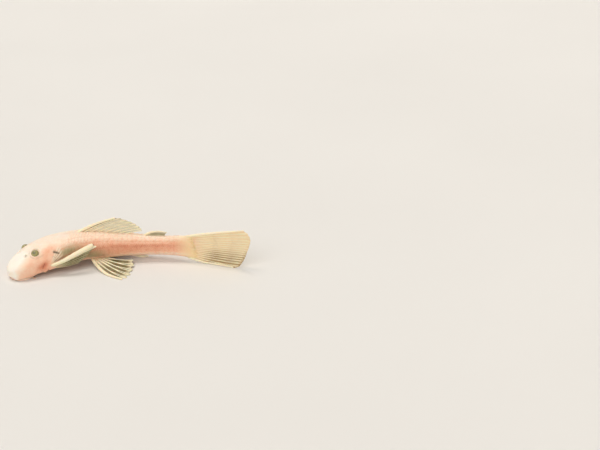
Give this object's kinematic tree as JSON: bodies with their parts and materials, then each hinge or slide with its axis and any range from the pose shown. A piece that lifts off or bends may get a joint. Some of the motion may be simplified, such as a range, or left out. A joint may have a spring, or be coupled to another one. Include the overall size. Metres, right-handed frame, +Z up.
{
  "type": "bristlenose pleco model, a life-size still figure of an armoured sucker-mouthed catfish",
  "caption": "Life-size pale bristlenose pleco resting on its mouth disc and pelvic fins, body gently curved, pectoral fins folded and dorsal fin half raised",
  "frame": {"origin": "On the floor under the rear lip of the mouth disc, in the middle of the fish's width there", "axes": "+X toward the tail fin, along the fish's longest side; +Y toward the fish's right side; +Z up, the floor at z = 0"},
  "size_m": [0.1151, 0.0448, 0.0217],
  "materials": {
    "skin": "moist cream-white skin over bony plates, peach on the flank",
    "lip": "soft pink moist lip",
    "iris": "glossy wet eye",
    "fin": "thin membrane between pale cream rays"
  },
  "bodies": {
    "root": {"head": "skin", "trunk": "skin", "tail": "skin", "oral_disc": "lip", "eye_left": "iris", "eye_right": "iris", "dorsal_fin": "fin", "adipose_fin": "fin", "anal_fin": "fin", "caudal_fin": "fin", "pectoral_fin_left": "fin", "pelvic_fin_left": "fin", "pectoral_fin_right": "fin", "pelvic_fin_right": "fin"}
  },
  "joints": []
}
